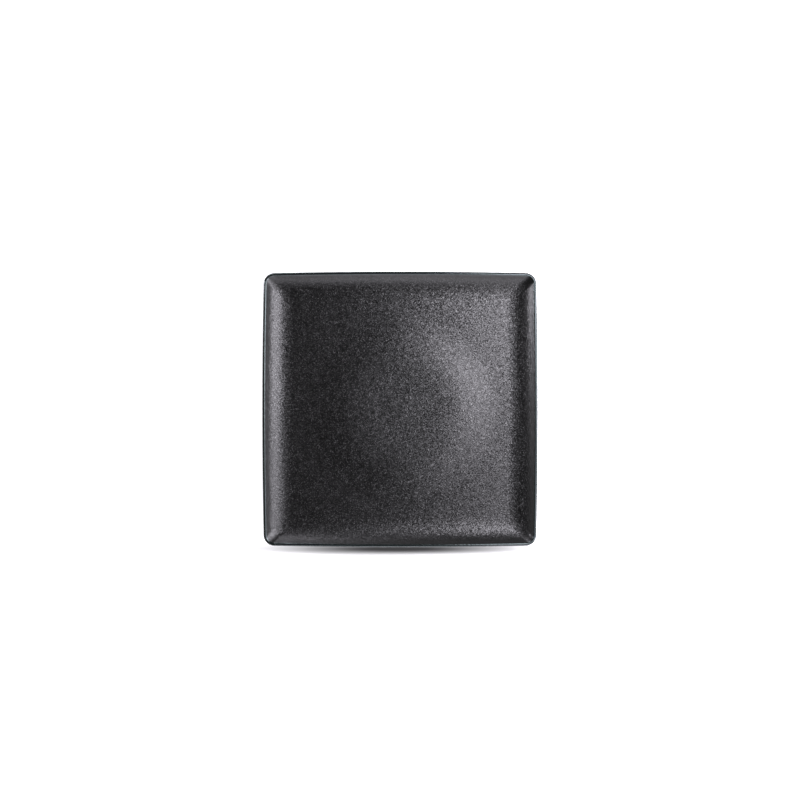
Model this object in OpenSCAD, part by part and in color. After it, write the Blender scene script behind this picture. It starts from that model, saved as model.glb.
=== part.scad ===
// Square dinner plate with bowed sides, a coved wall and a double foot, in millimetres.
// It stands on its square foot at z = 0, with the middle of the plate at x = y = 0.

/* [Plate] */
// Width across the middles of two opposite sides
plate_w = 265; // [225:1:320]
// Height of the rim's crest over the table
plate_h = 20; // [17:0.5:30]
// Radius of the rim's corners, seen from above
rim_corner_r = 10.6; // [6:0.2:30]
// How far the middle of a side bows out past the side's ends
side_bow = 1.55; // [0.4:0.05:6]

/* [Rim and wall] */
// Radius of the rolled crest of the rim, which is half its thickness
crest_r = 1.7; // [1.2:0.1:3]
// Lean of the inside of the wall above its cove, in degrees up from the floor
wall_lean = 43; // [34:1:60]
// How many degrees steeper the outside of the wall leans
wall_taper = 4; // [0:0.5:8]
// Radius of the gentle toe where the inside of the wall starts from the floor
toe_r = 45; // [30:1:80]
// Lean at which the toe passes into the cove, in degrees
toe_lean = 9; // [2:1:14]
// Radius of the cove above the toe
cove_r = 28.5; // [12:0.5:34]
// Radius of the belly where the outside of the wall turns under
belly_r = 32; // [16:1:40]
// Corner radius of the well where the wall meets the floor
well_corner_r = 8; // [4:0.5:30]

/* [Floor] */
// Thickness of the floor at the foot of the wall
floor_t = 6; // [4:0.1:8]
// Height of the low ridge over the support ring, above the floor at the foot of the wall
ridge_rise = 2.2; // [0.2:0.1:3]
// Height of the level middle of the floor, above the floor at the foot of the wall
middle_rise = 1.6; // [0:0.1:2.5]

/* [Foot] */
// Height of the underside over the table
foot_h = 3.2; // [1.6:0.1:5]
// How far the square foot stands in from where the wall's outside meets the underside
foot_set_in = 14; // [4:0.5:30]
// Radius of the square foot's corners at the outer edge of its bearing face
foot_corner_r = 18; // [8:0.5:40]
// Width of the bearing face of either foot ring
foot_face = 3.2; // [2:0.1:6]
// How far a foot ring's flank stands out at its root
foot_flare = 1.8; // [1:0.1:3]
// Width and height of the bare bevel beside a bearing face
foot_bevel = 0.8; // [0.4:0.1:0.9]
// Width of the recess between the square foot and the round support ring, at its narrowest
recess_w = 37; // [15:1:50]
// Gap between the round support ring and the table
ring_gap = 0.4; // [0.1:0.1:0.7]

/* [Glaze] */
// Thickness of the fired glaze coats
glaze_t = 0.4; // [0.2:0.05:0.8]

/* [Hidden] */

// Facets along a side, round a corner, over either slope of the ridge, up the toe and the
// cove, over the inner, upper outer and lower outer part of the crest, and round the belly
side_steps = 6;
corner_steps = 8;
ridge_steps = 4;
toe_steps = 2;
cove_steps = 6;
lip_steps = 3;
crest_steps = 3;
brow_steps = 2;
belly_steps = 7;

// Corner radius, as a share of the half width, that spreads a round ring's points evenly
even_share = 0.5;

// The level middle's half width as a share of the ridge's, and where the ridge's outer slope
// ends as a share of the way from the ridge to the foot of the wall
level_middle_share = 0.25;
ridge_out_share = 0.88;

// The most of the wall's height that a cove or belly takes, as a share
most_bend_share = 0.95;

// A surface's lean is the turn from straight up towards the outside of the plate, so it is
// 0 on the floor, 90 at the outermost line of the crest and 180 on the underside
inner_lean = -wall_lean;
outer_lean = 180 - wall_lean - wall_taper;

half_w = plate_w / 2;
floor_z = foot_h + floor_t;

function mix(a, b, share) = a + (b - a) * share;
function facing(lean) = [sin(lean), cos(lean)];

// The crest is an arc round crest_mid
crest_mid = [half_w - crest_r, plate_h - crest_r];
crest_in = crest_mid + crest_r * facing(inner_lean);
crest_out = crest_mid + crest_r * facing(outer_lean);

// Inside, the wall leaves the floor by the toe, an arc round toe_mid, bends up by the cove,
// an arc round cove_mid, and runs on straight to the crest
well_depth = crest_in.y - floor_z;
toe_rise = toe_r * (1 - cos(toe_lean));
cove_share = cos(toe_lean) - cos(wall_lean);
cove = min(cove_r, most_bend_share * (well_depth - toe_rise) / cove_share);
slope_in = (well_depth - toe_rise - cove * cove_share) / tan(wall_lean);
bends_in = toe_r * sin(toe_lean) + cove * (sin(wall_lean) - sin(toe_lean));
toe_mid = [crest_in.x - slope_in - bends_in, floor_z + toe_r];
cove_mid = toe_mid - (toe_r - cove) * facing(-toe_lean);

// Outside, it leaves the crest straight and turns under by the belly, an arc round belly_mid
under_lean = 180 - outer_lean;
under_depth = crest_out.y - foot_h;
belly_share = 1 - cos(under_lean);
belly = min(belly_r, most_bend_share * under_depth / belly_share);
slope_out = (under_depth - belly * belly_share) / tan(under_lean);
belly_mid = [crest_out.x - slope_out - belly * sin(under_lean), foot_h + belly];
foot_half = belly_mid.x - foot_set_in;

// The support ring stands under the ridge, which it held up in the kiln
ring_half = foot_half - foot_face - recess_w;
ridge_half = ring_half - foot_face / 2;

// A station is one closed line round the plate: its half width, height and corner radius,
// how square it is from 0 for a circle to 1, and the lean of the surface there
function station(at, corner_r, square, lean) = [at.x, at.y, corner_r, square, lean];
function concentric(x) = rim_corner_r - (half_w - x);

// A round part of the floor, easing from one height and half width to another
function eased(from, to, first) = [
    for (i = [first : ridge_steps])
        let (out = i / ridge_steps, x = mix(from.x, to.x, out))
        station([x, mix(from.y, to.y, (1 - cos(180 * out)) / 2)], x * even_share, 0, 0)
];

// The floor: the level middle, the ridge, and level again to the foot of the wall
ridge_top = [ridge_half, floor_z + ridge_rise];
floor_line = concat(
    eased([ridge_half * level_middle_share, floor_z + middle_rise], ridge_top, 0),
    eased(ridge_top, [mix(ridge_half, toe_mid.x, ridge_out_share), floor_z], 1),
    [station([toe_mid.x, floor_z], well_corner_r, 1, 0)]);

// A bend of the inside of the wall, from one lean to another
function bend_line(mid, radius, from, to, steps) = [
    for (i = [1 : steps])
        let (lean = mix(from, to, i / steps),
            at = mid - radius * facing(lean),
            out = (at.x - toe_mid.x) / (crest_in.x - toe_mid.x))
        station(at, mix(well_corner_r, concentric(crest_in.x), out), 1, lean)
];

// An arc of the crest, from one lean to another
function crest_line(from, to, steps, first) = [
    for (i = [first : steps])
        let (lean = mix(from, to, i / steps), at = crest_mid + crest_r * facing(lean))
        station(at, concentric(at.x), 1, lean)
];

// The belly, from where the outside of the wall stops being straight to the underside
belly_line = [
    for (i = [0 : belly_steps])
        let (lean = mix(outer_lean, 180, i / belly_steps),
            at = belly_mid + belly * facing(lean),
            out = (at.x - belly_mid.x) / (crest_out.x - belly_mid.x))
        station(at, mix(foot_corner_r + foot_set_in, concentric(crest_out.x), out), 1, lean)
];

// One flank of a foot ring: its root, the line where the glaze ends, and its face's edge
function flank(edge, way, base, corner_r, square) = [
    for (step = [[foot_flare, foot_h], [foot_bevel, base + foot_bevel], [0, base]])
        station([edge + way * step.x, step.y], corner_r + way * step.x, square, 180)
];
foot_outside = flank(foot_half, 1, 0, foot_corner_r, 1);
foot_inside = flank(foot_half - foot_face, -1, 0, foot_corner_r - foot_face, 1);
ring_outside = flank(ring_half, 1, ring_gap, ring_half * even_share, 0);
ring_inside = flank(ring_half - foot_face, -1, ring_gap, ring_half * even_share, 0);

// What is seen of each glaze coat, in order along the section. The first coat ends at the
// outermost line of the crest, where the second begins.
well_line = concat(floor_line,
    bend_line(toe_mid, toe_r, 0, -toe_lean, toe_steps),
    bend_line(cove_mid, cove, -toe_lean, inner_lean, cove_steps),
    crest_line(inner_lean, 0, lip_steps, 0), crest_line(0, 90, crest_steps, 1));
outer_line = concat(crest_line(90, outer_lean, brow_steps, 0), belly_line,
    [foot_outside[0]]);

// The clay under a coat lies one glaze thickness in from what is seen
function sunk(stations) = [
    for (s = stations)
        let (in = glaze_t * facing(s[4]))
        station([s[0] - in.x, s[1] - in.y], s[2] - in.x, s[3], s[4])
];
function reversed(list) = [for (i = [len(list) - 1 : -1 : 0]) list[i]];
function without_first(list) = [for (i = [1 : len(list) - 1]) list[i]];

// Four shallow side arcs joined by four corner arcs, tangent where they meet
function outline(half, corner_r) =
    let (bow = side_bow * half / half_w,
        side_r = (half * half + bow * bow) / (2 * bow),
        back = side_r - half,
        reach = side_r - corner_r,
        mid = (sqrt(2 * reach * reach - back * back) - back) / 2,
        turn = atan2(mid, mid + back),
        side = [for (i = [0 : side_steps - 1])
            side_r * facing(mix(90 + turn, 90 - turn, i / side_steps)) - [back, 0]],
        corner = [for (i = [0 : corner_steps - 1])
            corner_r * facing(mix(90 - turn, turn, i / corner_steps)) + [mid, mid]])
    [for (quarter = [0 : 3], p = concat(side, corner))
        let (c = cos(90 * quarter), s = sin(90 * quarter))
        [c * p.x - s * p.y, s * p.x + c * p.y]];

// A station's points, drawn in towards a circle where it isn't fully square
function ring(s) = [
    for (p = outline(s[0], s[2]))
        let (k = mix(s[0] / norm(p), 1, s[3]))
        [k * p.x, k * p.y, s[1]]
];

// A skin over the stations in order: capped at both ends, or closed on itself as a band.
// Each four-sided facet is split along its shorter diagonal, so that two pieces which
// share stations meet facet to facet.
module skin(stations, capped) {
    rings = [for (s = stations) ring(s)];
    points = [for (r = rings) each r];
    around = len(rings[0]);
    last = len(rings) - 1;
    facets = [
        for (i = [0 : capped ? last - 1 : last], j = [0 : around - 1])
            let (next = (i + 1) % len(rings),
                a = i * around + j,
                b = i * around + (j + 1) % around,
                c = next * around + (j + 1) % around,
                d = next * around + j,
                across = norm(points[a] - points[c]) < norm(points[b] - points[d]))
            each across ? [[a, b, c], [a, c, d]] : [[a, b, d], [b, c, d]]
    ];
    caps = capped
        ? [[for (j = [around - 1 : -1 : 0]) j], [for (j = [0 : around - 1]) last * around + j]]
        : [];
    polyhedron(points, concat(facets, caps));
}

// The fired clay: floor, wall, rim and both foot rings, with the bearing faces left bare
module stoneware_body() {
    color("#5a5450")
    skin(concat(
        sunk(well_line),
        without_first(sunk(outer_line)),
        [foot_outside[1], foot_outside[2], foot_inside[2], foot_inside[1]],
        sunk([foot_inside[0], ring_outside[0]]),
        [ring_outside[1], ring_outside[2], ring_inside[2], ring_inside[1]],
        sunk([ring_inside[0]])), true);
}

// The matte glaze of the well, over the inside of the wall and the crest
module well_glaze() {
    color("#333335")
    skin(concat(well_line, reversed(sunk(well_line))), true);
}

// The glaze of the outside, from the crest down to the square foot
module outer_glaze() {
    color("#26262a")
    skin(concat(outer_line, [foot_outside[1]], reversed(sunk(outer_line))), false);
}

// The glaze of the recess between the square foot and the round support ring
module recess_glaze() {
    color("#26262a")
    skin(concat([foot_inside[1], foot_inside[0], ring_outside[0], ring_outside[1]],
        sunk([ring_outside[0], foot_inside[0]])), false);
}

// The glaze of the round recess inside the support ring
module centre_glaze() {
    color("#26262a")
    skin(concat(sunk([ring_inside[0]]), [ring_inside[1], ring_inside[0]]), true);
}

stoneware_body();
well_glaze();
outer_glaze();
recess_glaze();
centre_glaze();
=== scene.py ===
# A square dinner plate in matte black glaze, seen from straight above on a white table.
import math

import bpy
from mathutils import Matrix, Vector, noise


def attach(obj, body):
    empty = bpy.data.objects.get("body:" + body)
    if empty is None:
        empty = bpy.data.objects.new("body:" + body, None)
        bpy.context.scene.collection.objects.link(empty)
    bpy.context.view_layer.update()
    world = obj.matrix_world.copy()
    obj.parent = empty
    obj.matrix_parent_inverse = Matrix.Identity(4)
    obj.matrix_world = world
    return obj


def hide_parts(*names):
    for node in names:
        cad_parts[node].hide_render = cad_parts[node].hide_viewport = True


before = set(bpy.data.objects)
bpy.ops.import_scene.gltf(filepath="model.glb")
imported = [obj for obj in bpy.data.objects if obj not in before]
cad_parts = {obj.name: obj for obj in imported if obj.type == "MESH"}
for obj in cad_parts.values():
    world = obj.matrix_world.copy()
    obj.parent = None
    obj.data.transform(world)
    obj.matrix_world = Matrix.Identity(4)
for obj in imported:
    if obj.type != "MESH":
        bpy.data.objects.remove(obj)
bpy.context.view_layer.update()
print("frame loaded:", sorted(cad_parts))

millimetre = 0.001
sharpFrom = 50  # degrees between two faces that shade as an edge
colorA, colorB, mixedColor = 6, 7, 2  # sockets of the Mix node when it mixes colours


def linearColor(hexCode):
    # sRGB hex to the linear values that a shader socket takes
    channels = [int(hexCode[i:i + 2], 16) / 255 for i in (1, 3, 5)]
    linear = [c / 12.92 if c <= 0.04045 else ((c + 0.055) / 1.055) ** 2.4 for c in channels]
    return (*linear, 1.0)


def addNode(tree, kind, settings=None, links=None):
    # settings are node properties or input values, links are sockets by input name or place
    node = tree.nodes.new(kind)
    for key, value in (settings or {}).items():
        if isinstance(key, str) and hasattr(node, key):
            setattr(node, key, value)
        else:
            node.inputs[key].default_value = value
    for key, socket in (links or {}).items():
        tree.links.new(socket, node.inputs[key])
    return node


# The plate's section and outline, in millimetres and degrees, as the construction has them
plate = {
    "width": 265.0,
    "height": 20.0,
    "rimCornerRadius": 10.6,
    "sideBow": 1.55,  # each side bows out by this in its middle
    "crestRadius": 1.7,  # the rolled rim
    "wallLean": 43.0,  # up from the floor, above the cove
    "wallTaper": 4.0,  # the outside of the wall is steeper by this
    "toeRadius": 45.0,  # gentle start of the wall
    "toeLean": 9.0,
    "coveRadius": 28.5,
    "bellyRadius": 32.0,  # round turn from the underside into the outside of the wall
    "wellCornerRadius": 8.0,
    "floorThickness": 6.0,
    "ridgeRise": 2.2,  # low ridge over the support ring
    "middleRise": 1.6,  # the floor inside the ridge stays up by this
    "levelMiddleShare": 0.25,  # of the way from the middle to the ridge
    "ridgeOutShare": 0.88,  # the ridge has run out at this share of the way to the wall
    "footHeight": 3.2,
    "footSetIn": 14.0,
    "footCornerRadius": 18.0,
    "footFace": 3.2,  # width of a ring's bearing face
    "footFlare": 1.8,  # hollow flank of a ring
    "flareSpread": 2.0,  # where the flank meets the underside, in flares
    "flareTurn": 0.25,  # where its curve turns down, in flares
    "footBevel": 0.8,  # bare round edge below the glaze line
    "bevelTurn": 1 / 3,  # where that edge turns level, in bevels
    "recessWidth": 37.0,  # between the square foot and the round ring
    "ringGap": 0.4,  # the round ring clears the table by this much
    "glaze": 0.4,  # thickness of a coat
    "evenShare": 0.5,  # corner radius of a round line, as a share of its half width
}

# How many steps each stretch of the lines is drawn in
fineness = {
    "side": 24, "corner": 18, "middle": 6, "ridge": 16, "flat": 6, "toe": 8, "cove": 22,
    "straight": 4, "crestIn": 8, "crestOut": 9, "brow": 5, "belly": 22, "flank": 6, "bareEdge": 3,
}


def mix(a, b, share):
    return a + (b - a) * share


def facing(lean):
    # the way a surface faces in the section, from straight up towards the outside
    return math.sin(math.radians(lean)), math.cos(math.radians(lean))


def onArc(middle, radius, lean):
    way = facing(lean)
    return middle[0] + radius * way[0], middle[1] + radius * way[1]


def bend(radius, start, end):
    # how far an arc between two leans goes across and up
    a, b = facing(start), facing(end)
    return radius * (b[0] - a[0]), radius * (a[1] - b[1])


def slopeReach(height, lean):
    return height / math.tan(math.radians(lean))


def curve(a, b, c, t):
    # a quadratic curve through a and c that b pulls
    return tuple((1 - t) ** 2 * u + 2 * t * (1 - t) * v + t * t * w for u, v, w in zip(a, b, c))


# Firing leaves the floor a little uneven, in millimetres: it sags between the ring and the wall,
# and it has two soft waves that fade out up the wall
kiln = {
    "sagDepth": 0.6, "sagFrom": 56.0, "sagDeepest": 92.0, "sagTo": 121.0,
    "longWave": 85.0, "longRise": 0.10, "shortWave": 34.0, "shortRise": 0.03, "fadeFrom": 16.0,
    "longSlice": 0.3, "shortSlice": 5.1,  # where each wave is cut out of the noise
}


def sag(x):
    end = kiln["sagFrom"] if x < kiln["sagDeepest"] else kiln["sagTo"]
    out = min(1.0, (x - kiln["sagDeepest"]) / (end - kiln["sagDeepest"]))
    return kiln["sagDepth"] * (1 + math.cos(math.pi * out)) / 2


def uneven(x, y, z):
    long = noise.noise(Vector((x / kiln["longWave"], y / kiln["longWave"], kiln["longSlice"])))
    short = noise.noise(Vector((x / kiln["shortWave"], y / kiln["shortWave"], kiln["shortSlice"])))
    rise = kiln["longRise"] * long + kiln["shortRise"] * short
    fade = (plate["height"] - z) / (plate["height"] - kiln["fadeFrom"])
    return x, y, z + rise * min(1.0, max(0.0, fade))


def sectionLines(p):
    # each station is half width, height, corner radius, squareness and lean
    halfWidth = p["width"] / 2
    floorZ = p["footHeight"] + p["floorThickness"]
    lean, underLean = p["wallLean"], p["wallLean"] + p["wallTaper"]
    crestMid = (halfWidth - p["crestRadius"], p["height"] - p["crestRadius"])
    crestIn = onArc(crestMid, p["crestRadius"], -lean)
    crestOut = onArc(crestMid, p["crestRadius"], 180 - underLean)
    toe = bend(p["toeRadius"], 0, p["toeLean"])
    cove = bend(p["coveRadius"], p["toeLean"], lean)
    belly = bend(p["bellyRadius"], 0, underLean)
    slopeIn = slopeReach(crestIn[1] - floorZ - toe[1] - cove[1], lean)
    slopeOut = slopeReach(crestOut[1] - p["footHeight"] - belly[1], underLean)
    toeMid = (crestIn[0] - slopeIn - cove[0] - toe[0], floorZ + p["toeRadius"])
    coveMid = onArc(toeMid, p["coveRadius"] - p["toeRadius"], -p["toeLean"])
    bellyMid = (crestOut[0] - slopeOut - belly[0], p["footHeight"] + p["bellyRadius"])
    footHalf = bellyMid[0] - p["footSetIn"]
    ringHalf = footHalf - p["footFace"] - p["recessWidth"]
    ridgeHalf = ringHalf - p["footFace"] / 2

    def concentric(x):
        return p["rimCornerRadius"] - (halfWidth - x)

    def eased(start, end, steps, first):
        for i in range(first, steps + 1):
            x = mix(start[0], end[0], i / steps)
            z = mix(start[1], end[1], (1 - math.cos(math.pi * i / steps)) / 2)
            yield x, z, x * p["evenShare"], 0.0, 0.0

    # the floor: level middle, round ridge, then flat while it turns from round to square
    middleHalf = ridgeHalf * p["levelMiddleShare"]
    ridgeEnd = mix(ridgeHalf, toeMid[0], p["ridgeOutShare"])
    middleZ = floorZ + p["middleRise"]
    ridgeTop = (ridgeHalf, floorZ + p["ridgeRise"])
    well = []
    for i in range(1, fineness["middle"]):
        x = middleHalf * i / fineness["middle"]
        well.append((x, middleZ, x * p["evenShare"], 0.0, 0.0))
    well += eased((middleHalf, middleZ), ridgeTop, fineness["ridge"], 0)
    well += eased(ridgeTop, (ridgeEnd, floorZ), fineness["ridge"], 1)
    for i in range(1, fineness["flat"] + 1):
        out = i / fineness["flat"]
        corner = mix(ridgeEnd * p["evenShare"], p["wellCornerRadius"], out)
        well.append((mix(ridgeEnd, toeMid[0], out), floorZ, corner, out, 0.0))

    # the inside of the wall: toe, cove and straight part
    wall = []
    for mid, radius, start, end, steps in (
            (toeMid, p["toeRadius"], 0, p["toeLean"], fineness["toe"]),
            (coveMid, p["coveRadius"], p["toeLean"], lean, fineness["cove"])):
        for i in range(1, steps + 1):
            turn = -mix(start, end, i / steps)
            wall.append((*onArc(mid, -radius, turn), turn))
    top = wall[-1]
    for i in range(1, fineness["straight"]):
        up = i / fineness["straight"]
        wall.append((mix(top[0], crestIn[0], up), mix(top[1], crestIn[1], up), -lean))
    for x, z, turn in wall:
        out = (x - toeMid[0]) / (crestIn[0] - toeMid[0])
        corner = mix(p["wellCornerRadius"], concentric(crestIn[0]), out)
        well.append((x, z, corner, 1.0, turn))
    well = [(x, z - sag(x), *rest) for x, z, *rest in well]

    # over the crest to the plate's widest line
    for start, end, steps, first in ((-lean, 0, fineness["crestIn"], 0),
                                     (0, 90, fineness["crestOut"], 1)):
        for i in range(first, steps + 1):
            turn = mix(start, end, i / steps)
            at = onArc(crestMid, p["crestRadius"], turn)
            well.append((*at, concentric(at[0]), 1.0, turn))

    # the outside: rest of the crest, down the wall and round the belly
    outer = []
    for i in range(fineness["brow"] + 1):
        turn = mix(90, 180 - underLean, i / fineness["brow"])
        at = onArc(crestMid, p["crestRadius"], turn)
        outer.append((*at, concentric(at[0]), 1.0, turn))
    for i in range(fineness["belly"] + 1):
        turn = mix(180 - underLean, 180, i / fineness["belly"])
        at = onArc(bellyMid, p["bellyRadius"], turn)
        out = (at[0] - bellyMid[0]) / (crestOut[0] - bellyMid[0])
        corner = mix(p["footCornerRadius"] + p["footSetIn"], concentric(crestOut[0]), out)
        outer.append((*at, corner, 1.0, turn))

    def flank(edge, way, base, corner, square):
        # glazed hollow curve from the underside down to the glaze line, then the bare round edge
        root = (p["flareSpread"] * p["footFlare"], p["footHeight"])
        flareTurn = (p["footBevel"] + p["flareTurn"] * p["footFlare"], p["footHeight"])
        line = (p["footBevel"], base + p["footBevel"])
        edgeTurn = (p["bevelTurn"] * p["footBevel"], base)
        stations = []
        for ends, steps, first in (((root, flareTurn, line), fineness["flank"], 0),
                                   ((line, edgeTurn, (0.0, base)), fineness["bareEdge"], 1)):
            for i in range(first, steps + 1):
                x, z = curve(*ends, i / steps)
                stations.append((edge + way * x, z, corner + way * x, square, 180.0))
        glazed = fineness["flank"] + 1
        return stations[:glazed], stations[glazed:]

    footIn, ringIn = footHalf - p["footFace"], ringHalf - p["footFace"]
    ringCorner = ringHalf * p["evenShare"]
    return {
        "well": well,
        "outer": outer,
        "footOut": flank(footHalf, 1, 0.0, p["footCornerRadius"], 1.0),
        "footIn": flank(footIn, -1, 0.0, p["footCornerRadius"] - p["footFace"], 1.0),
        "ringOut": flank(ringHalf, 1, p["ringGap"], ringCorner, 0.0),
        "ringIn": flank(ringIn, -1, p["ringGap"], ringCorner, 0.0),
    }


def sunk(stations, p):
    # the clay's side of a coat, one glaze thickness in
    lines = []
    for x, z, corner, square, lean in stations:
        way = facing(lean)
        inX, inZ = p["glaze"] * way[0], p["glaze"] * way[1]
        lines.append((x - inX, z - inZ, corner - inX, square, lean))
    return lines


def outline(half, corner, p):
    # four shallow side arcs joined by four corner arcs, tangent where they meet
    bow = p["sideBow"] * half / (p["width"] / 2)
    sideRadius = (half * half + bow * bow) / (2 * bow)
    back = sideRadius - half
    reach = sideRadius - corner
    mid = (math.sqrt(2 * reach * reach - back * back) - back) / 2
    turn = math.atan2(mid, mid + back)
    quarter = []
    for i in range(fineness["side"]):
        angle = turn * (2 * i / fineness["side"] - 1)
        quarter.append((sideRadius * math.cos(angle) - back, sideRadius * math.sin(angle)))
    for i in range(fineness["corner"]):
        angle = mix(turn, math.pi / 2 - turn, i / fineness["corner"])
        quarter.append((corner * math.cos(angle) + mid, corner * math.sin(angle) + mid))
    points = list(quarter)
    for _ in range(3):
        quarter = [(-y, x) for x, y in quarter]
        points += quarter
    return points


def skin(name, stations, capped, p, shift=None):
    # one closed surface over the stations, capped at both ends or closed on itself
    rings = []
    for half, z, corner, square, lean in stations:
        ring = []
        for x, y in outline(half, corner, p):
            k = mix(half / math.hypot(x, y), 1, square)
            ring.append((k * x, k * y, z))
        rings.append(ring)
    around = len(rings[0])
    points = [point for ring in rings for point in ring]
    if shift:
        points = [shift(*point) for point in points]
    faces = []
    for i in range(len(rings) - 1 if capped else len(rings)):
        here, there = i * around, (i + 1) % len(rings) * around
        for j in range(around):
            k = (j + 1) % around
            faces.append((here + j, there + j, there + k, here + k))
    if capped:
        for start, way in ((0, 1), ((len(rings) - 1) * around, -1)):
            ring = range(start, start + around)
            hub = len(points)
            points.append(tuple(sum(points[j][axis] for j in ring) / around for axis in range(3)))
            for j in range(around):
                a, b = start + j, start + (j + 1) % around
                faces.append((hub, a, b) if way > 0 else (hub, b, a))
    mesh = bpy.data.meshes.new(name)
    mesh.from_pydata([tuple(c * millimetre for c in point) for point in points], [], faces)
    mesh.update()
    mesh.polygons.foreach_set("use_smooth", [True] * len(mesh.polygons))
    mesh.set_sharp_from_angle(angle=math.radians(sharpFrom))
    piece = bpy.data.objects.new(name, mesh)
    bpy.context.collection.objects.link(piece)
    return piece


# Well: matte black stoneware glaze, dipped and fired until fine crystals grew in it.
# The eye sees black under a broad soft sheen that breaks up into grains, calmer up the wall.
wellLook = {
    "grainSize": 0.65,  # millimetres; real grains are finer, these are as coarse as can show
    "grainTilt": 7.2,  # degrees that a grain leans at most
    "glossShare": 0.28,  # how much the grains differ in gloss
    "rareness": 2.0,  # the higher, the fewer grains are glossy
    "speckRareness": 9.0,  # the higher, the fewer grains are light
    "smoothFromTo": (12.0, 18.0),  # heights between which the grain calms
    "rimGrain": 0.35,  # share of the grain that is left above them
    "meanGloss": 0.5,  # plain level of the shader, which the grains differ from
    "dark": "#030303",
    "light": "#4b4b4b",
    "roughness": 0.300,
    "ior": 1.5,
    # the glaze runs thin over the crest: glossier, and greener by the clay's grey
    "crestFromTo": (19.3, 19.5),
    "crest": "#0d1111",
    "crestTint": "#eafafa",
    "crestRoughness": 0.17,
    "crestGloss": 0.25,
}
# Outside and underside: the same glaze, smoothed before firing. The eye sees an even satin black.
outerLook = dict(wellLook, grainTilt=0.5, glossShare=0.1, light="#222222", roughness=0.42)
# Feet: bare fired stoneware, wiped free of glaze. The eye sees a dull warm grey, a little mottled.
clayLook = dict(wellLook, dark="#4a443f", light="#6a625b", roughness=0.9, glossShare=0.3,
                crestGloss=0.0)


def grainedGlaze(name, look):
    # each grain tilts the sheen a little and has a gloss and a tone of its own
    material = bpy.data.materials.new(name)
    material.use_nodes = True
    tree = material.node_tree
    tree.nodes.clear()
    place = addNode(tree, "ShaderNodeTexCoord").outputs["Object"]
    height = addNode(tree, "ShaderNodeSeparateXYZ", {}, {"Vector": place}).outputs["Z"]

    def byHeight(lowAndHigh, low, high):
        start, end = (z * millimetre for z in lowAndHigh)
        return addNode(tree, "ShaderNodeMapRange",
                       {"From Min": start, "From Max": end, "To Min": low, "To Max": high},
                       {"Value": height}).outputs["Result"]

    # a chance between -0.5 and 0.5 three times over for every grain, calmed up the wall
    meanChance = 0.5
    share = byHeight(look["smoothFromTo"], 1.0, look["rimGrain"])
    grain = addNode(tree, "ShaderNodeTexVoronoi",
                    {"Scale": 1 / (look["grainSize"] * millimetre)},
                    {"Vector": place}).outputs["Color"]
    chance = addNode(tree, "ShaderNodeVectorMath",
                     {"operation": "SUBTRACT", 1: (meanChance, meanChance, meanChance)},
                     {0: grain}).outputs["Vector"]
    calmed = addNode(tree, "ShaderNodeVectorMath", {"operation": "SCALE"},
                     {0: chance, "Scale": share}).outputs["Vector"]

    # the tilt of the grain's face
    steepest = math.tan(math.radians(look["grainTilt"]))
    tilt = addNode(tree, "ShaderNodeVectorMath",
                   {"operation": "SCALE", "Scale": steepest / meanChance},
                   {0: calmed}).outputs["Vector"]
    straight = addNode(tree, "ShaderNodeNewGeometry").outputs["Normal"]
    tilted = addNode(tree, "ShaderNodeVectorMath", {"operation": "ADD"},
                     {0: straight, 1: tilt}).outputs["Vector"]
    way = addNode(tree, "ShaderNodeVectorMath", {"operation": "NORMALIZE"},
                  {0: tilted}).outputs["Vector"]

    # its gloss and tone: few grains have much of either, and the mean gloss stays
    luck = addNode(tree, "ShaderNodeSeparateXYZ", {}, {"Vector": calmed}).outputs["Z"]
    even = addNode(tree, "ShaderNodeMath", {"operation": "ADD", 1: meanChance},
                   {0: luck}).outputs[0]
    shine = addNode(tree, "ShaderNodeMath", {"operation": "POWER", 1: look["rareness"]},
                    {0: even}).outputs[0]
    spread = look["meanGloss"] * look["glossShare"] * (1 + look["rareness"])
    least = look["meanGloss"] * (1 - look["glossShare"])
    level = addNode(tree, "ShaderNodeMath", {"operation": "MULTIPLY_ADD", 1: spread, 2: least},
                    {0: shine}).outputs[0]
    speck = addNode(tree, "ShaderNodeMath", {"operation": "POWER", 1: look["speckRareness"]},
                    {0: even}).outputs[0]
    tone = addNode(tree, "ShaderNodeMix",
                   {"data_type": "RGBA", colorA: linearColor(look["dark"]),
                    colorB: linearColor(look["light"])},
                   {0: speck}).outputs[mixedColor]

    # the crest has a gloss, roughness, colour and tint of its own
    crest = byHeight(look["crestFromTo"], 0.0, 1.0)
    lift = addNode(tree, "ShaderNodeMath", {"operation": "MULTIPLY_ADD", 1: look["crestGloss"]},
                   {0: crest, 2: level}).outputs[0]
    rough = byHeight(look["crestFromTo"], look["roughness"], look["crestRoughness"])
    toned = addNode(tree, "ShaderNodeMix",
                    {"data_type": "RGBA", colorB: linearColor(look["crest"])},
                    {0: crest, colorA: tone}).outputs[mixedColor]
    tint = addNode(tree, "ShaderNodeMix",
                   {"data_type": "RGBA", colorA: linearColor("#ffffff"),
                    colorB: linearColor(look["crestTint"])},
                   {0: crest}).outputs[mixedColor]
    shader = addNode(tree, "ShaderNodeBsdfPrincipled", {"IOR": look["ior"]},
                     {"Base Color": toned, "Normal": way, "Roughness": rough,
                      "Specular IOR Level": lift, "Specular Tint": tint}).outputs["BSDF"]
    addNode(tree, "ShaderNodeOutputMaterial", {}, {"Surface": shader})
    return material


matteBlackGlaze = grainedGlaze("matteBlackGlaze", wellLook)
satinBlackGlaze = grainedGlaze("satinBlackGlaze", outerLook)
bareStoneware = grainedGlaze("bareStoneware", clayLook)
print("glazes and clay mixed")


def dress(piece, material, node):
    piece.data.materials.append(material)
    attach(piece, "root")
    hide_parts(node)


lines = sectionLines(plate)
footLine, footBare = lines["footOut"]
footLineIn, footBareIn = lines["footIn"]
ringLine, ringBare = lines["ringOut"]
ringLineIn, ringBareIn = lines["ringIn"]

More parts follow.
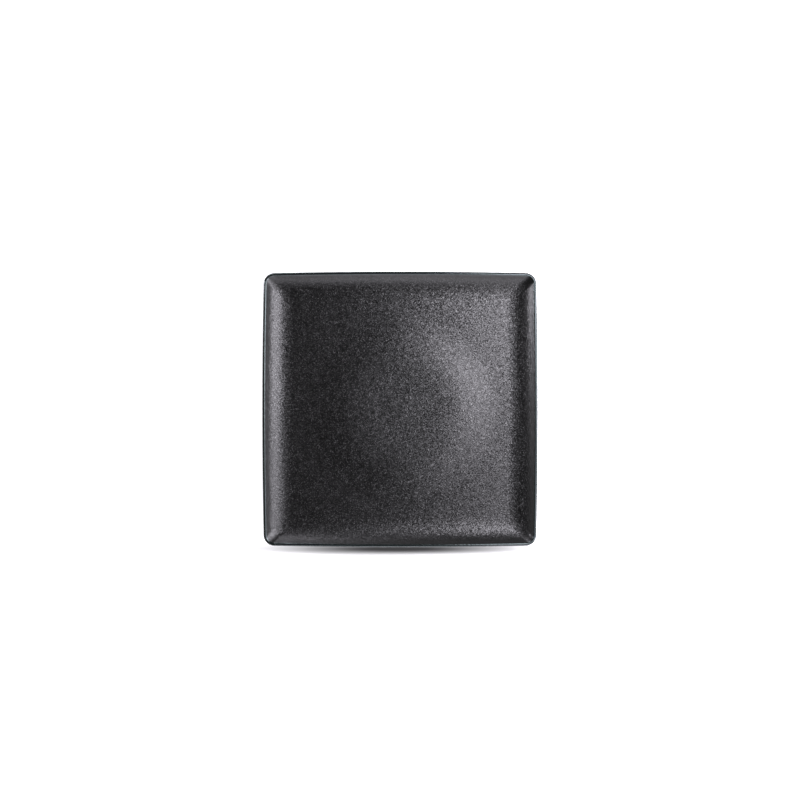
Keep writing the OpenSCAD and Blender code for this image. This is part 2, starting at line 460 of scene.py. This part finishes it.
well = lines["well"]
wellGlaze = skin("matte_well_glaze", well + sunk(well, plate)[::-1], True, plate, uneven)
dress(wellGlaze, matteBlackGlaze, "well_glaze")

outer = lines["outer"] + footLine[:-1]
outerGlaze = skin("satin_outer_glaze", outer + footLine[-1:] + sunk(outer, plate)[::-1],
                  False, plate)
dress(outerGlaze, satinBlackGlaze, "outer_glaze")

# a coat ends at the glaze lines, so its clay side leaves these out
recess = footLineIn[-2::-1] + ringLine[:-1]
recessGlaze = skin("satin_recess_glaze",
                   footLineIn[-1:] + recess + ringLine[-1:] + sunk(recess, plate)[::-1],
                   False, plate)
dress(recessGlaze, satinBlackGlaze, "recess_glaze")

centreGlaze = skin("satin_centre_glaze", sunk(ringLineIn[:-1], plate) + ringLineIn[::-1],
                   True, plate)
dress(centreGlaze, satinBlackGlaze, "centre_glaze")

# the clay runs under every coat and comes out bare at both rings
body = skin("stoneware_clay",
            sunk(well, plate) + sunk(outer, plate)[1:]
            + footLine[-1:] + footBare + footBareIn[::-1] + footLineIn[-1:]
            + sunk(recess, plate)
            + ringLine[-1:] + ringBare + ringBareIn[::-1] + ringLineIn[-1:]
            + sunk(ringLineIn[-2::-1], plate), True, plate)
dress(body, bareStoneware, "stoneware_body")
pieces = (wellGlaze, outerGlaze, recessGlaze, centreGlaze, body)
print("plate built:", sum(len(piece.data.polygons) for piece in pieces), "faces")

# White table: matt paper, even and without sheen, lit like the plate, but with a painted shadow at
# the plate's front.
# Its own glow lifts it to white in the picture.
table = {"size": 6.0, "color": "#f2f2f2", "glow": 0.75}
# Painted shadow on the table, in metres: its colour and glow are darkened in a lens along the
# plate's front edge and, behind it, in a box under the overhang
paintedShadows = {
    "lens": {"middle": (-0.002, -0.1362), "halfLength": 0.215, "halfWidth": 0.0098,
             "boxy": False, "depth": 0.957, "darkShare": 0.1},
    "overhang": {"middle": (0.0, -0.104), "halfLength": 0.130, "halfWidth": 0.032,
                 "boxy": True, "depth": 0.93, "darkShare": 0.8},
}


def buildTable():
    half = table["size"] / 2
    corners = [(-half, -half, 0), (half, -half, 0), (half, half, 0), (-half, half, 0)]
    mesh = bpy.data.meshes.new("whiteTable")
    mesh.from_pydata(corners, [], [(0, 1, 2, 3)])
    floor = bpy.data.objects.new("whiteTable", mesh)
    bpy.context.collection.objects.link(floor)
    material = bpy.data.materials.new("whitePaper")
    material.use_nodes = True
    tree = material.node_tree
    tree.nodes.clear()
    paths = addNode(tree, "ShaderNodeLightPath").outputs
    seen = paths["Is Camera Ray"]
    for ray in ("Is Glossy Ray", "Is Transmission Ray"):
        seen = addNode(tree, "ShaderNodeMath", {"operation": "MAXIMUM"},
                       {0: seen, 1: paths[ray]}).outputs[0]
    place = addNode(tree, "ShaderNodeTexCoord").outputs["Object"]
    light = None
    # each painted shadow is a soft shape fixed on the table, darkest in its middle
    for shade in paintedShadows.values():
        fromMiddle = addNode(tree, "ShaderNodeVectorMath",
                             {"operation": "SUBTRACT", 1: (*shade["middle"], 0)},
                             {0: place}).outputs["Vector"]
        inShade = addNode(tree, "ShaderNodeVectorMath",
                          {"operation": "DIVIDE", 1: (shade["halfLength"], shade["halfWidth"], 1)},
                          {0: fromMiddle}).outputs["Vector"]
        if shade["boxy"]:
            inShade = addNode(tree, "ShaderNodeVectorMath", {"operation": "MULTIPLY"},
                              {0: inShade, 1: inShade}).outputs["Vector"]
        reach = addNode(tree, "ShaderNodeVectorMath", {"operation": "LENGTH"},
                        {0: inShade}).outputs["Value"]
        let = addNode(tree, "ShaderNodeMapRange",
                      {"interpolation_type": "SMOOTHSTEP", "From Min": shade["darkShare"],
                       "From Max": 1.0, "To Min": 1 - shade["depth"], "To Max": 1.0},
                      {"Value": reach}).outputs["Result"]
        light = let if light is None else addNode(tree, "ShaderNodeMath",
                                                  {"operation": "MINIMUM"},
                                                  {0: light, 1: let}).outputs[0]
    # the painted shadow darkens the glow and the paper's colour alike
    glowing = addNode(tree, "ShaderNodeMath", {"operation": "MULTIPLY", 1: table["glow"]},
                      {0: seen}).outputs[0]
    strength = addNode(tree, "ShaderNodeMath", {"operation": "MULTIPLY"},
                       {0: glowing, 1: light}).outputs[0]
    glow = addNode(tree, "ShaderNodeEmission", {}, {"Strength": strength}).outputs[0]
    paperUnderPaintedShadow = addNode(tree, "ShaderNodeMix",
                     {"data_type": "RGBA", colorA: linearColor("#000000"),
                      colorB: linearColor(table["color"])},
                     {0: light}).outputs[mixedColor]
    paper = addNode(tree, "ShaderNodeBsdfDiffuse", {}, {"Color": paperUnderPaintedShadow}).outputs[0]
    both = addNode(tree, "ShaderNodeAddShader", {}, {0: paper, 1: glow}).outputs[0]
    addNode(tree, "ShaderNodeOutputMaterial", {}, {"Surface": both})
    mesh.materials.append(material)


buildTable()
print("table set")

# Soft studio light: panels that face the plate, each in degrees off vertical and round from +X,
# with its distance, width and height in metres and its power in watts
panelTint = "#f9f6ff"  # a trace of cool violet
panels = {
    "key": {"off": 39.2, "round": 4.5, "distance": 0.386,
            "width": 0.636, "height": 0.395, "power": 2.71},
    "lowLeft": {"off": 76.6, "round": 162.3, "distance": 1.161,
                "width": 0.199, "height": 0.323, "power": 7.65},
    "lowFront": {"off": 67.1, "round": 280.2, "distance": 1.086,
                 "width": 0.911, "height": 0.569, "power": 5.32},
    "lowRight": {"off": 55.4, "round": 15.7, "distance": 1.210,
                 "width": 0.487, "height": 0.378, "power": 4.71},
    "core": {"off": 29.2, "round": 27.0, "distance": 0.423,
             "width": 0.198, "height": 0.184, "power": 0.83},
    "lowSide": {"off": 61.7, "round": -27.4, "distance": 1.198,
                "width": 0.399, "height": 0.349, "power": 3.90},
    "back": {"off": 68.5, "round": 115.7, "distance": 0.926,
             "width": 0.362, "height": 0.383, "power": 3.77},
}


def buildPanels():
    for name, panel in panels.items():
        data = bpy.data.lights.new(name, "AREA")
        data.shape = "RECTANGLE"
        data.size, data.size_y = panel["width"], panel["height"]
        data.energy = panel["power"]
        data.color = linearColor(panelTint)[:3]
        obj = bpy.data.objects.new(name, data)
        turn = math.radians(panel["round"])
        side, up = facing(panel["off"])
        way = Vector((side * math.cos(turn), side * math.sin(turn), up))
        obj.location = way * panel["distance"]
        obj.rotation_euler = (0, math.radians(panel["off"]), turn)
        # turned a quarter on its own axis, so that width runs level
        obj.rotation_euler.rotate_axis("Z", math.radians(90))
        obj.visible_camera = False
        bpy.context.collection.objects.link(obj)


buildPanels()

# A light tent round the table: bright near the horizon, darker overhead
tent = {"color": "#ffffff", "low": 1.0, "top": 0.08, "lowUntil": 0.05, "topFrom": 0.28}


def buildTent():
    world = bpy.data.worlds.new("lightTent")
    bpy.context.scene.world = world
    world.use_nodes = True
    tree = world.node_tree
    tree.nodes.clear()
    way = addNode(tree, "ShaderNodeTexCoord").outputs["Generated"]
    up = addNode(tree, "ShaderNodeSeparateXYZ", {}, {"Vector": way}).outputs["Z"]
    level = addNode(tree, "ShaderNodeMapRange",
                    {"interpolation_type": "SMOOTHSTEP", "From Min": tent["lowUntil"],
                     "From Max": tent["topFrom"], "To Min": tent["low"], "To Max": tent["top"]},
                    {"Value": up}).outputs["Result"]
    sky = addNode(tree, "ShaderNodeBackground", {"Color": linearColor(tent["color"])},
                  {"Strength": level}).outputs[0]
    addNode(tree, "ShaderNodeOutputWorld", {}, {"Surface": sky})


buildTent()
print("lamps and light tent set")

# Camera straight overhead, in metres. The plate spans so many of the picture's 800 pixels.
view = {"height": 1.3, "offset": (0.0, 0.0090), "plateSpan": 275.6, "picture": 800,
        "sensor": 36}  # the sensor's width is in millimetres


def buildCamera():
    data = bpy.data.cameras.new("overhead")
    rimDepth = view["height"] - (plate["height"] - plate["crestRadius"]) * millimetre
    pictureWidth = plate["width"] * millimetre * view["picture"] / view["plateSpan"]
    data.sensor_fit = "HORIZONTAL"
    data.sensor_width = view["sensor"]
    data.lens = data.sensor_width * rimDepth / pictureWidth
    obj = bpy.data.objects.new("overhead", data)
    obj.location = (*view["offset"], view["height"])
    bpy.context.collection.objects.link(obj)
    bpy.context.scene.camera = obj


buildCamera()
bpy.context.scene.view_settings.view_transform = "Standard"
print("camera set")
